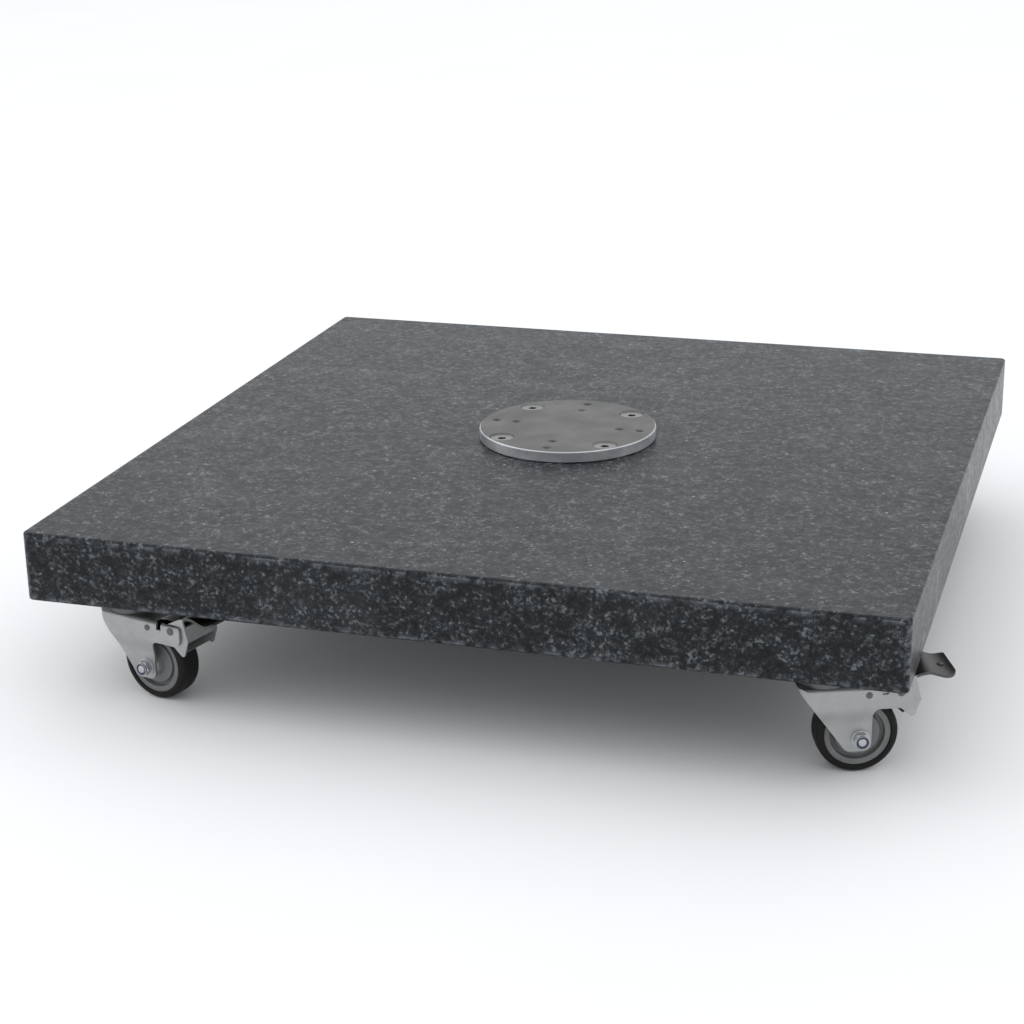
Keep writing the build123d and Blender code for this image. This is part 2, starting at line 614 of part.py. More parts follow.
SHARED_NODES = [
    granite_slab, mounting_plate, plate_screws, plate_anchors,
    caster_bolts, caster_anchors, kingpins, swivel_balls,
]
SWIVELLING_NODES = [
    fork, lower_race, swivel_bush, axle_bolt, axle_nut, axle_sleeve, pivot_pins,
    tyre, wheel_core, wheel_bearings, brake_pedal, brake_pad,
]


def pieces_of(shape):
    """A node's solids as one list, whether its maker gives one shape or several."""
    shapes = shape if isinstance(shape, list) else [shape]
    return [solid for one in shapes for solid in one.solids()]


def write(node, solids):
    export_step(Compound(children=solids), f"parts/{node}.step")


os.makedirs("parts", exist_ok=True)
for maker in SHARED_NODES:
    write(maker.__name__, pieces_of(maker()))
for name, x, y, turn in CASTERS:
    write(f"{name}_top_plate", [stand(solid, x, y, 0) for solid in pieces_of(top_plate())])
for maker in SWIVELLING_NODES:
    solids = pieces_of(maker())
    for name, x, y, turn in CASTERS:
        write(f"{name}_{maker.__name__}", [stand(solid, x, y, turn) for solid in solids])
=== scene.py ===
"""A mobile parasol base: a granite slab on four braked casters, with a bolted steel mounting plate.

Metres, in the frame's own axes. Caster pieces are shaped in the caster's own frame, where the
kingpin is the Z axis, the slab's underside is Z = 0 and the wheel trails towards +X, and then
stood in their places.
"""

import json
import math

import bmesh
import bpy
from mathutils import Matrix, Vector, noise


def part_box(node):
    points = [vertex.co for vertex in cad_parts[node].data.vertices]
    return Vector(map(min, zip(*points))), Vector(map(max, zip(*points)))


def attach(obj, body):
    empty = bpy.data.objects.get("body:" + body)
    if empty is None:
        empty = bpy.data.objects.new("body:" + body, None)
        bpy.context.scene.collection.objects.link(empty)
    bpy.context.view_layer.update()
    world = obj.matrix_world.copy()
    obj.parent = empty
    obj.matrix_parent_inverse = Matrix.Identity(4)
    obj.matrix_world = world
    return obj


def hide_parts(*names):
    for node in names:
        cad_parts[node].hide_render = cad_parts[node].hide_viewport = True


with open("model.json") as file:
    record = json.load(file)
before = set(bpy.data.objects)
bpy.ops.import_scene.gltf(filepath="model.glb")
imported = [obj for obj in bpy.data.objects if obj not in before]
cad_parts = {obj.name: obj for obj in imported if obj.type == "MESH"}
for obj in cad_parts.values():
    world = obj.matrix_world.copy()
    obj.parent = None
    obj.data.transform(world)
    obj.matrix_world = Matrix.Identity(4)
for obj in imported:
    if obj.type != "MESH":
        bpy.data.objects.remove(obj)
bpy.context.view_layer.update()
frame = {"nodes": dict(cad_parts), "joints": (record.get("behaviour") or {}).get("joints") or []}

MM = 0.001
CASTERS = ("front_right", "front_left", "back_left", "back_right")

# Camera
CAMERA_PLACE = (0.6188, -2.1522, 0.8895)
CAMERA_HEADING = 17.62
CAMERA_TILT = 70.38
CAMERA_ROLL = -1.01
CAMERA_LENS = 76.43
SENSOR = 36

# Studio
FLOOR = 20.0
WALLS = 0.84
WALL_COLOUR = (0.965, 0.99, 1.02)
PANEL = 0.42
PANEL_SIZE = 18.0
PANEL_PLACE = (0, 2.0, 5.0)
SIDE_LIGHT = 12
SIDE_LIGHT_SIZE = 2.0
SIDE_LIGHT_PLACE = (-2.8, -0.6, 1.6)

# Granite slab
CORNER_RADIUS = 6 * MM
ARRIS = 2.5 * MM
SLAB_STEP = 2.6 * MM
CORNER_STEPS = 8
ARRIS_STEPS = 5
EDGE_WAVE = 0.12 * MM
CHIP_DEPTH = 1.5 * MM
CHIP_SPACING = 9 * MM
CHIP_SHARE = 0.52
FACE_WORN = 2 * MM
# Share of the lighter edge colour (bruised stone and a painted highlight) on the edges of the flat faces.
FLAT_EDGE_WEAR_AND_HIGHLIGHT = 0.16
FACE_RINGS = (330 * MM, 180 * MM, 60 * MM, 20 * MM, 8 * MM)

# Mounting plate, screws and tapped holes
PLATE_CHAMFER = 1.0 * MM
ROUND_STEPS = 96
WHEEL_STEPS = 160
HEX_CIRCLE = 0.475
HEX_CHAMFER = 30
PLATE_STEPS = 288
SCREW_CIRCLE = 160 * MM
SCREW_COUNT = 4
SCREW_START = 45
SCREW_HEAD = 24 * MM
SCREW_SHANK = 12 * MM
SCREW_RECESS = 1.5 * MM
SCREW_LENGTH = 58 * MM
SCREW_SOCKET = 8 * MM
SCREW_SOCKET_DEPTH = 4.5 * MM
SCREW_RIM = 0.35 * MM
HOLE_PLAY = 1.0 * MM
TAP_CIRCLES = (115 * MM, 160 * MM)
TAP_COUNT = 4
TAP_MAJOR = 8 * MM
TAP_RIDGE = 0.6 * MM
TAP_PITCH = 1.25 * MM
TAP_MOUTH = 0.9 * MM
CUT_OVER = 1 * MM

# Caster bolts
BOLT_SPACING_X = 80 * MM
BOLT_SPACING_Y = 60 * MM
BOLT_SHANK = 8 * MM
BOLT_HEX = 13 * MM
BOLT_HEAD = 5.3 * MM
TOP_PLATE = 2.5 * MM
WASHER = 17 * MM
WASHER_THICKNESS = 1.5 * MM

# Wheel
TYRE_SHOULDER = 5 * MM
TYRE_CROWN = 0.35 * MM
PARTING_LINE = 0.18 * MM
PARTING_WIDTH = 0.8 * MM
TYRE_HEIGHT = 7.4 * MM
RIM_RECESS = 1.5 * MM
RIM_WALL = 5.5 * MM
GROOVE_WIDTH = 4.0 * MM
DISC_RECESS = 3.0 * MM
WEB_WIDTH = 12 * MM
HUB = 23 * MM
BEARING_BORE = 17 * MM
BEARING_FLANGE = 1.5 * MM
AXLE = 8 * MM
AXLE_HEX = 13 * MM
AXLE_HEAD = 5.3 * MM
AXLE_NUT = 6.3 * MM
AXLE_PROUD = 0.4 * MM
NYLON_RING = 1.7 * MM
NYLON_WALL = 2.2 * MM
COLLAR_WALL = 0.45 * MM
KINGPIN = 12 * MM
KINGPIN_HEAD = 22 * MM
KINGPIN_HEAD_HEIGHT = 5 * MM
KINGPIN_HEX = 19 * MM
KINGPIN_NUT = 6.5 * MM
KINGPIN_WASHER = 23 * MM
BALL = 5 * MM
BALLS_EACH = 16

# Pedal
FOOT_DEPTH = 13.5 * MM
DIMPLE_WIDTH = 6 * MM
DIMPLE_HEIGHT = 0.6 * MM
DIMPLE_FROM_TIP = 8.5 * MM
DIMPLE_SUNK = 0.3 * MM
DIMPLE_STEPS = 8

slab_low, slab_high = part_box("granite_slab")
plate_low, plate_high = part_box("mounting_plate")
screws_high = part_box("plate_screws")[1]
joints = {joint["name"]: joint for joint in frame["joints"]}


# ---------------------------------------------------------------- node trees

class Line:
    """One output socket of a node tree; arithmetic on it adds Math nodes."""

    def __init__(self, graph, socket):
        self.graph = graph
        self.socket = socket

    def math(self, operation, first, second=None):
        values = {0: first}
        if second is not None:
            values[1] = second
        return self.graph.add("ShaderNodeMath", {"operation": operation}, values)

    def __add__(self, other):
        return self.math("ADD", self, other)

    def __radd__(self, other):
        return self.math("ADD", other, self)

    def __sub__(self, other):
        return self.math("SUBTRACT", self, other)

    def __rsub__(self, other):
        return self.math("SUBTRACT", other, self)

    def __mul__(self, other):
        return self.math("MULTIPLY", self, other)

    def __rmul__(self, other):
        return self.math("MULTIPLY", other, self)

    def clipped(self):
        return self.graph.add("ShaderNodeClamp", None, {"Value": self})


class Graph:
    """A node tree and the one way that nodes are added to it."""

    def __init__(self, tree):
        self.tree = tree

    def add(self, kind, settings=None, values=None, out=0):
        """A new node: its settings first, then the values or links of its sockets."""
        node = self.tree.nodes.new(kind)
        for name, value in (settings or {}).items():
            if name == "stops":
                self.set_stops(node.color_ramp, value)
            else:
                setattr(node, name, value)
        for key, value in (values or {}).items():
            self.feed(node.inputs[key], value)
        return Line(self, node.outputs[out]) if len(node.outputs) else node

    def feed(self, socket, value):
        if isinstance(value, Line):
            self.tree.links.new(value.socket, socket)
        else:
            socket.default_value = value

    def set_stops(self, ramp, stops):
        while len(ramp.elements) < len(stops):
            ramp.elements.new(0.5)
        for element, (place, level) in zip(ramp.elements, stops):
            element.position = place
            element.color = (level, level, level, 1)


class Finish(Graph):
    """A material and the patterns that its surface is made from."""

    def __init__(self, name):
        self.material = bpy.data.materials.new(name)
        self.material.use_nodes = True
        super().__init__(self.material.node_tree)
        self.tree.nodes.clear()
        self.place = self.add("ShaderNodeTexCoord", out="Object")

    def stretched(self, x, y, z):
        """The place on the piece, scaled along each axis."""
        values = {0: self.place, 1: (x, y, z)}
        return self.add("ShaderNodeVectorMath", {"operation": "MULTIPLY"}, values)

    def cloud(self, size, detail=2.0, place=None, roughness=0.5):
        """Soft noise whose blotches are about that size."""
        values = {
            "Vector": place or self.place, "Scale": 1 / size, "Detail": detail,
            "Roughness": roughness,
        }
        return self.add("ShaderNodeTexNoise", {"normalize": True}, values, "Fac")

    def grains(self, size, out="Distance"):
        """Cells of about that size."""
        values = {"Vector": self.place, "Scale": 1 / size}
        return self.add("ShaderNodeTexVoronoi", {"feature": "F1"}, values, out)

    def cell(self, size, channel):
        """A random level for each cell of about that size."""
        return self.add("ShaderNodeSeparateColor", None, {0: self.grains(size, "Color")}, channel)

    def ramp(self, value, *stops):
        """Grey levels at places along a value."""
        return self.add("ShaderNodeValToRGB", {"stops": stops}, {"Fac": value}, "Color")

    def blend(self, first, second, share):
        """From one colour to another."""
        values = {0: share, 6: colour(first), 7: colour(second)}
        return self.add("ShaderNodeMix", {"data_type": "RGBA"}, values, 2)

    def bumps(self, height, depth):
        """A relief of that depth in metres."""
        values = {"Height": height, "Distance": depth, "Strength": 1.0}
        return self.add("ShaderNodeBump", None, values, "Normal")

    def surface(self, **sockets):
        """The Principled shader; constants are set on its own sockets."""
        values = {SOCKETS[name]: value for name, value in sockets.items()}
        shader = self.add("ShaderNodeBsdfPrincipled", None, values, "BSDF")
        self.add("ShaderNodeOutputMaterial", None, {"Surface": shader})
        return self.material


# The Principled shader's sockets that the finishes set.
SOCKETS = {
    "base": "Base Color", "rough": "Roughness", "metal": "Metallic", "ior": "IOR",
    "normal": "Normal",
}


def colour(value):
    """A colour with its alpha, or a link as it is."""
    return value if isinstance(value, Line) else (*value, 1)


# ---------------------------------------------------------------- finishes

def granite():
    """Honed dark granite: near-black grains, blue-grey feldspar and a few pale flecks."""
    f = Finish("granite")
    clusters = f.ramp(f.cloud(19 * MM, 3.0, roughness=0.6), (0.38, 0), (0.62, 1))
    feldspar = f.ramp(f.cloud(7.0 * MM, 4.0, roughness=0.68), (0.43, 0), (0.60, 1))
    crystals = f.ramp(f.cell(2.7 * MM, "Red"), (0.50, 0), (1.0, 1))
    grey = f.ramp(f.cell(3.4 * MM, "Blue"), (0.2, 0), (1.0, 1))
    fine = f.ramp(f.cloud(3.0 * MM, 3.0, roughness=0.7), (0.42, 0), (0.66, 1))
    rare = f.ramp(f.cell(16 * MM, "Green"), (0.5, 0), (0.7, 1))
    flecks = f.ramp(f.grains(16 * MM), (0.07, 1), (0.14, 0)) * rare
    veins = f.ramp(f.cloud(85 * MM, 3.0, f.stretched(1.0, 1.7, 1.0)), (0.52, 0), (0.70, 1))
    warm = f.ramp(f.cloud(24 * MM, 1.0), (0.50, 0), (0.66, 1))
    tone = (0.42 * feldspar + 0.24 * clusters + 0.34 * grey).clipped()
    mid = f.blend((0.0115, 0.0155, 0.019), (0.017, 0.015, 0.018), warm)
    ground = f.blend((0.0010, 0.0016, 0.0022), mid, tone)
    light = (0.12 + 0.48 * feldspar + 0.34 * clusters) * (0.50 * fine + 0.62 * crystals)
    ground = f.blend(ground, (0.128, 0.142, 0.150), (light * light * 2.4 + 0.05 * veins).clipped())
    ground = f.blend(ground, (0.36, 0.39, 0.42), flecks * fine)
    edge = f.add("ShaderNodeAttribute", {"attribute_name": "edge"}, None, "Fac")
    # Lighter, bluish colour along the edges: partly bruised stone at the chips, partly a painted highlight
    # along the rounded corners.
    bruise_and_highlight = (f.ramp(f.cloud(9 * MM, 3.0), (0.44, 0), (0.62, 1)) * edge * 0.9).clipped()
    ground = f.blend(ground, (0.19, 0.21, 0.235), bruise_and_highlight)
    rough = 0.37 - 0.08 * feldspar - 0.05 * veins + 0.15 * bruise_and_highlight
    pits = f.cloud(0.9 * MM, 3.0) + 0.6 * grey + 0.5 * fine
    normal = f.bumps(pits, 0.06 * MM)
    return f.surface(base=ground, rough=rough, ior=1.31, normal=normal)


def turned_steel(name, dark, light, rough):
    """Turned stainless steel: fine rings from the lathe under stains from handling."""
    f = Finish(name)
    flat = f.stretched(1, 1, 0)
    radius = f.add("ShaderNodeVectorMath", {"operation": "LENGTH"}, {0: flat}, "Value")
    height = f.add("ShaderNodeSeparateXYZ", None, {0: f.place}, "Z")
    across = f.add("ShaderNodeCombineXYZ", None, {"X": radius, "Z": height})
    rings = f.cloud(0.45 * MM, 2.0, across)
    broad = f.cloud(6 * MM, 1.0, across)
    smudge = f.ramp(f.cloud(38 * MM, 4.0), (0.36, 0), (0.64, 1))
    base = f.blend(dark, light, (0.35 * rings + 0.65 * smudge).clipped())
    finish = rough + 0.12 * smudge + 0.08 * broad
    normal = f.bumps(rings, 0.012 * MM)
    return f.surface(base=base, rough=finish, metal=1.0, normal=normal)


def worked_steel(name, dark, light, rough, grain, speck, relief=0.01):
    """Rolled or machined metal: a fine grain, soft stains and a scatter of rubbed specks."""
    f = Finish(name)
    streaks = f.cloud(grain, 3.0, f.stretched(1, 1, 0.25))
    stains = f.cloud(14 * MM, 3.0)
    specks = f.ramp(f.grains(speck), (0.05, 1), (0.16, 0))
    base = f.blend(dark, light, (0.45 * streaks + 0.6 * stains).clipped())
    finish = rough + 0.12 * stains + 0.08 * streaks - 0.06 * specks
    normal = f.bumps(streaks - 0.4 * specks, relief * MM)
    return f.surface(base=base, rough=finish, metal=1.0, normal=normal)


def rubber(name, dark, light, grain):
    """Moulded rubber: a matt skin, dusted where it has rolled."""
    f = Finish(name)
    dust = f.cloud(9 * MM, 4.0)
    skin = f.cloud(grain, 2.0)
    scuffs = f.ramp(f.cloud(2.4 * MM, 3.0, f.stretched(1, 1, 0.4)), (0.56, 0), (0.72, 1))
    base = f.blend(dark, light, (0.5 * dust + 0.4 * scuffs * dust).clipped())
    rough = 0.50 + 0.18 * dust
    normal = f.bumps(skin + 0.5 * scuffs, 0.03 * MM)
    return f.surface(base=base, rough=rough, ior=1.33, normal=normal)


def moulded(name, dark, light, rough):
    """Moulded plastic: a faint flow pattern and a fine spark-eroded grain."""
    f = Finish(name)
    flow = f.cloud(18 * MM, 2.0)
    grain = f.cloud(0.5 * MM, 2.0)
    scuffs = f.ramp(f.cloud(3 * MM, 4.0), (0.58, 0), (0.7, 1))
    base = f.blend(dark, light, (0.6 * flow + 0.3 * scuffs + 0.1 * grain).clipped())
    normal = f.bumps(grain, 0.02 * MM)
    return f.surface(base=base, rough=rough + 0.1 * flow + 0.06 * scuffs, normal=normal)


def studio_floor():
    """Pale painted studio floor with a very soft mottle."""
    f = Finish("studio_floor")
    mottle = f.cloud(0.4, 3.0)
    base = f.blend((0.86, 0.865, 0.87), (0.90, 0.90, 0.90), mottle)
    return f.surface(base=base, rough=0.75 + 0.1 * mottle)


FINISHES = {
    "granite": granite(),
    "plate_steel": turned_steel("plate_steel", (0.080, 0.078, 0.075), (0.205, 0.200, 0.193), 0.34),
    # A much lighter copy of the plate steel for the plate's chamfers and side: a painted highlight along
    # the rim.
    "plate_edge": turned_steel("plate_edge", (0.38, 0.39, 0.405), (0.74, 0.75, 0.76), 0.48),
    "plate_screw": worked_steel(
        "plate_screw", (0.20, 0.20, 0.20), (0.34, 0.34, 0.335), 0.24, 0.6 * MM, 2.5 * MM),
    "screw_steel": worked_steel(
        "screw_steel", (0.44, 0.44, 0.44), (0.62, 0.62, 0.61), 0.22, 0.6 * MM, 2.5 * MM),
    "fork_steel": worked_steel(
        "fork_steel", (0.27, 0.275, 0.275), (0.50, 0.505, 0.50), 0.36, 0.8 * MM, 6 * MM, 0.02),
    "zinc_steel": worked_steel(
        "zinc_steel", (0.36, 0.37, 0.385), (0.60, 0.61, 0.63), 0.26, 1.2 * MM, 3 * MM),
    # A darker copy of the zinc steel: painted shade for the lower race under the slab; the pivot pins take
    # it too.
    "race_steel": worked_steel(
        "race_steel", (0.09, 0.092, 0.095), (0.17, 0.172, 0.175), 0.36, 1.2 * MM, 3 * MM),
    "ball_steel": worked_steel(
        "ball_steel", (0.66, 0.67, 0.68), (0.74, 0.75, 0.76), 0.08, 1.0 * MM, 4 * MM, 0.002),
    "brass": worked_steel("brass", (0.52, 0.36, 0.14), (0.66, 0.50, 0.24), 0.30, 0.7 * MM, 3 * MM),
    "pedal_steel": worked_steel(
        "pedal_steel", (0.065, 0.062, 0.062), (0.150, 0.145, 0.145), 0.38, 1.0 * MM, 4 * MM, 0.02),
    "tyre": rubber("tyre", (0.0035, 0.003, 0.003), (0.014, 0.012, 0.012), 0.6 * MM),
    "brake_rubber": rubber("brake_rubber", (0.008, 0.008, 0.008), (0.022, 0.021, 0.020), 0.9 * MM),
    "wheel_core": moulded("wheel_core", (0.12, 0.125, 0.125), (0.22, 0.225, 0.22), 0.38),
    "nylon": moulded("nylon", (0.30, 0.30, 0.28), (0.42, 0.42, 0.39), 0.42),
    "lock_ring": moulded("lock_ring", (0.012, 0.020, 0.055), (0.030, 0.045, 0.105), 0.40),
}

# Finishes that belong to a slot of another name in the part's record: the darker steel is zinc steel with
# painted shade.
RECORD_SLOTS = {"race_steel": "zinc_steel"}


# ---------------------------------------------------------------- shapes

def new_mesh(name, points, faces):
    """A closed mesh with merged points and outward faces."""
    mesh = bpy.data.meshes.new(name)
    mesh.from_pydata(points, [], faces)
    return closed(mesh)


def closed(mesh):
    """Merges what meets, and turns every face outward."""
    work = bmesh.new()
    work.from_mesh(mesh)
    bmesh.ops.remove_doubles(work, verts=work.verts, dist=1e-6)
    bmesh.ops.recalc_face_normals(work, faces=work.faces)
    work.to_mesh(mesh)
    work.free()
    return mesh


def lofted(name, rings, tube=False):
    """Faces from ring to ring; a tube's last ring meets its first."""
    count = len(rings[0])
    points = [point for ring in rings for point in ring]
    spans = [(row, row + 1) for row in range(len(rings) - 1)]
    if tube:
        spans.append((len(rings) - 1, 0))
    faces = []
    for low, high in spans:
        for step in range(count):
            beside = (step + 1) % count
            below = (low * count + step, low * count + beside)
            above = (high * count + beside, high * count + step)
            faces.append(below + above)
    return new_mesh(name, points, faces)


def ring(radius, level, count=ROUND_STEPS):
    """A circle of points; the radius may be a function of the angle."""
    points = []
    for step in range(count):
        angle = 2 * math.pi * step / count
        far = radius(angle) if callable(radius) else radius
        points.append((far * math.cos(angle), far * math.sin(angle), level))
    return points


def turned(name, profile, count=ROUND_STEPS, tube=False):
    """A profile of (radius, level) turned about Z."""
    return lofted(name, [ring(radius, level, count) for radius, level in profile], tube)


def softened(points, radii, steps=4, loop=False):
    """A profile whose corners are arcs; a radius of 0 leaves a corner sharp."""
    rounded = []
    count = len(points)
    for index, (point, radius) in enumerate(zip(points, radii)):
        if radius == 0 or (not loop and index in (0, count - 1)):
            rounded.append(point)
            continue
        here = Vector(point)
        before = (Vector(points[index - 1]) - here).normalized()
        after = (Vector(points[(index + 1) % count]) - here).normalized()
        half = before.angle(after) / 2
        back = radius / math.tan(half)
        start = here + before * back
        end = here + after * back
        centre = here + (before + after).normalized() * (radius / math.sin(half))
        for step in range(steps + 1):
            share = step / steps
            arm = (start - centre).normalized().slerp((end - centre).normalized(), share)
            rounded.append(tuple(centre + arm * radius))
    return rounded


def hexagon(across_flats):
    """A hexagon's reach at each angle, with a corner at angle 0."""
    sixth = math.radians(60)
    return lambda angle: across_flats / 2 / math.cos(angle % sixth - sixth / 2)


def hexagon_edge(across_flats, circle, level, drop):
    """Where the sides of a hexagon meet a chamfer that starts from a circle."""
    reach = hexagon(across_flats)
    points = []
    for step in range(ROUND_STEPS):
        angle = 2 * math.pi * step / ROUND_STEPS
        far = reach(angle)
        fall = (far - circle) * math.tan(math.radians(HEX_CHAMFER))
        points.append((far * math.cos(angle), far * math.sin(angle), level + drop * fall))
    return points


def hex_block(name, across_flats, low, high, bore=0.0, chamfer_low=True):
    """A hexagonal head or nut with chamfered ends, solid or bored."""
    circle = HEX_CIRCLE * across_flats
    rings = [ring(bore / 2, low)]
    if chamfer_low:
        rings += [ring(circle, low), hexagon_edge(across_flats, circle, low, 1)]
    else:
        rings.append(ring(hexagon(across_flats), low))
    rings += [hexagon_edge(across_flats, circle, high, -1), ring(circle, high), ring(bore / 2, high)]
    return lofted(name, rings, tube=bore > 0)


def joined(name, *meshes):
    """Several meshes as one, with their materials side by side."""
    work = bmesh.new()
    finishes = []
    for mesh in meshes:
        first = len(work.faces)
        offset = len(finishes)
        work.from_mesh(mesh)
        work.faces.ensure_lookup_table()
        for face in work.faces[first:]:
            face.material_index += offset
        finishes += list(mesh.materials) or [None]
    whole = bpy.data.meshes.new(name)
    work.to_mesh(whole)
    work.free()
    for finish in finishes:
        whole.materials.append(finish)
    return whole


def moved(mesh, matrix):
    """A copy of a mesh somewhere else."""
    copy = mesh.copy()
    copy.transform(matrix)
    return copy


def applied(mesh, *steps):
    """A mesh after modifiers, each given as its kind and its settings."""
    holder = bpy.data.objects.new("holder", mesh)
    bpy.context.scene.collection.objects.link(holder)
    for kind, settings in steps:
        modifier = holder.modifiers.new(kind, kind)
        for name, value in settings.items():
            setattr(modifier, name, value)
    graph = bpy.context.evaluated_depsgraph_get()
    result = bpy.data.meshes.new_from_object(holder.evaluated_get(graph))
    bpy.data.objects.remove(holder)
    return result


def eased(mesh, width, angle=32, steps=2):
    """Small round edges wherever two faces meet at more than an angle."""
    bevel = {
        "width": width, "segments": steps, "limit_method": "ANGLE",
        "angle_limit": math.radians(angle), "miter_outer": "MITER_ARC",
    }
    smooth(mesh, 180)
    return applied(mesh, ("BEVEL", bevel), ("WEIGHTED_NORMAL", {"keep_sharp": True}))


def smooth(mesh, angle=30):
    """Smooth shading, broken where faces meet at more than an angle."""
    mesh.shade_smooth()
    mesh.set_sharp_from_angle(angle=math.radians(angle))
    return mesh


def painted(mesh, *slots):
    """Gives a mesh its finishes."""
    mesh.materials.clear()
    for slot in slots:
        mesh.materials.append(FINISHES[slot])
    return mesh


def piece(name, mesh, body, slot, *nodes):
    """A finished piece, riding on its body in place of its nodes."""
    made = bpy.data.objects.new(name, mesh)
    bpy.context.scene.collection.objects.link(made)
    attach(made, body)
    if nodes:
        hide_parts(*nodes)
    return made


def from_node(node, bevel, angle=32):
    """A node's own shape with merged faces and eased edges."""
    mesh = frame["nodes"][node].data.copy()
    work = bmesh.new()
    work.from_mesh(mesh)
    bmesh.ops.remove_doubles(work, verts=work.verts, dist=2e-6)
    bmesh.ops.dissolve_degenerate(work, edges=work.edges, dist=2e-6)
    bmesh.ops.dissolve_limit(
        work, angle_limit=math.radians(0.6), use_dissolve_boundaries=False,
        verts=work.verts, edges=work.edges)
    work.to_mesh(mesh)
    work.free()
    mesh.materials.clear()
    if bevel == 0:
        return smooth(mesh)
    return eased(mesh, bevel, angle)


# ---------------------------------------------------------------- repeats

def tree_start(name, inputs):
    """A geometry tree with named inputs, and a way to read them."""
    tree = bpy.data.node_groups.new(name, "GeometryNodeTree")
    tree.interface.new_socket(name="Geometry", in_out="INPUT", socket_type="NodeSocketGeometry")
    for label, kind in inputs:
        tree.interface.new_socket(name=label, in_out="INPUT", socket_type=kind)
    tree.interface.new_socket(name="Geometry", in_out="OUTPUT", socket_type="NodeSocketGeometry")
    graph = Graph(tree)
    entry = tree.nodes.new("NodeGroupInput")
    return graph, {socket.name: Line(graph, socket) for socket in entry.outputs if socket.name}


def tree_end(graph, shape, finish):
    """Real faces with their material, as the export needs them."""
    real = graph.add("GeometryNodeRealizeInstances", None, {"Geometry": shape})
    shown = graph.add("GeometryNodeSetMaterial", None, {"Geometry": real, "Material": finish})
    graph.add("NodeGroupOutput", None, {"Geometry": shown})
    return graph.tree


def set_tree():
    """One template standing at every point."""
    inputs = [
        ("Template", "NodeSocketObject"), ("Size", "NodeSocketFloat"), ("Material", "NodeSocketMaterial"),
    ]
    graph, given = tree_start("set_at_points", inputs)
    thing = graph.add("GeometryNodeObjectInfo", None, {"Object": given["Template"]}, "Geometry")
    stood = graph.add("GeometryNodeInstanceOnPoints", None, {
        "Points": given["Geometry"], "Instance": thing, "Scale": given["Size"]})
    return tree_end(graph, stood, given["Material"])


def ball_tree():
    """Rings of bearing balls, one ring round every point."""
    inputs = [
        ("Balls", "NodeSocketInt"), ("Circle", "NodeSocketFloat"), ("Ball", "NodeSocketFloat"),
        ("Material", "NodeSocketMaterial"),
    ]
    graph, given = tree_start("ball_rings", inputs)
    race = graph.add("GeometryNodeMeshCircle", None, {
        "Vertices": given["Balls"], "Radius": given["Circle"] * 0.5})
    ball = graph.add("GeometryNodeMeshIcoSphere", None, {
        "Radius": given["Ball"] * 0.5, "Subdivisions": 3})
    even = graph.add("GeometryNodeSetShadeSmooth", None, {"Geometry": ball})
    balls = graph.add("GeometryNodeInstanceOnPoints", None, {"Points": race, "Instance": even})
    whole = graph.add("GeometryNodeRealizeInstances", None, {"Geometry": balls})
    stood = graph.add("GeometryNodeInstanceOnPoints", None, {
        "Points": given["Geometry"], "Instance": whole})
    return tree_end(graph, stood, given["Material"])


def thread_tree():
    """A screw thread winding down from every point."""
    inputs = [
        ("Radius", "NodeSocketFloat"), ("Pitch", "NodeSocketFloat"), ("Turns", "NodeSocketFloat"),
        ("Ridge", "NodeSocketFloat"), ("Material", "NodeSocketMaterial"),
    ]
    graph, given = tree_start("threads", inputs)
    helix = graph.add("GeometryNodeCurveSpiral", None, {
        "Resolution": 24, "Rotations": given["Turns"], "Start Radius": given["Radius"],
        "End Radius": given["Radius"], "Height": given["Pitch"] * given["Turns"]})
    upright = graph.add("GeometryNodeSetCurveNormal", {"mode": "Z_UP"}, {"Curve": helix})
    section = graph.add("GeometryNodeCurvePrimitiveCircle", None, {
        "Resolution": 4, "Radius": given["Ridge"]})
    ridge = graph.add("GeometryNodeCurveToMesh", None, {
        "Curve": upright, "Profile Curve": section, "Fill Caps": True})
    stood = graph.add("GeometryNodeInstanceOnPoints", None, {
        "Points": given["Geometry"], "Instance": ridge})
    return tree_end(graph, stood, given["Material"])


def grown(name, points, tree, values):
    """The plain mesh that a geometry tree makes from a set of points."""
    seeds = bpy.data.meshes.new(name)
    seeds.from_pydata(points, [], [])
    holder = bpy.data.objects.new(name + "_seeds", seeds)
    bpy.context.scene.collection.objects.link(holder)
    modifier = holder.modifiers.new("grow", "NODES")
    modifier.node_group = tree
    for item in tree.interface.items_tree:
        if item.item_type == "SOCKET" and item.in_out == "INPUT" and item.name in values:
            modifier[item.identifier] = values[item.name]
    graph = bpy.context.evaluated_depsgraph_get()
    result = bpy.data.meshes.new_from_object(holder.evaluated_get(graph))
    bpy.data.objects.remove(holder)
    return result


def set_at(name, template, points, slot):
    """A template's mesh repeated at points."""
    pattern = bpy.data.objects.new(name + "_template", template)
    bpy.context.scene.collection.objects.link(pattern)
    values = {"Template": pattern, "Size": 1.0, "Material": FINISHES[slot]}
    result = grown(name, points, set_tree(), values)
    bpy.data.objects.remove(pattern)
    return result


def on_circle(diameter, count, start, level):
    """Points spread evenly round the plate's middle."""
    turns = [math.radians(start + 360 * step / count) for step in range(count)]
    return [(diameter / 2 * math.cos(turn), diameter / 2 * math.sin(turn), level) for turn in turns]


# ---------------------------------------------------------------- slab

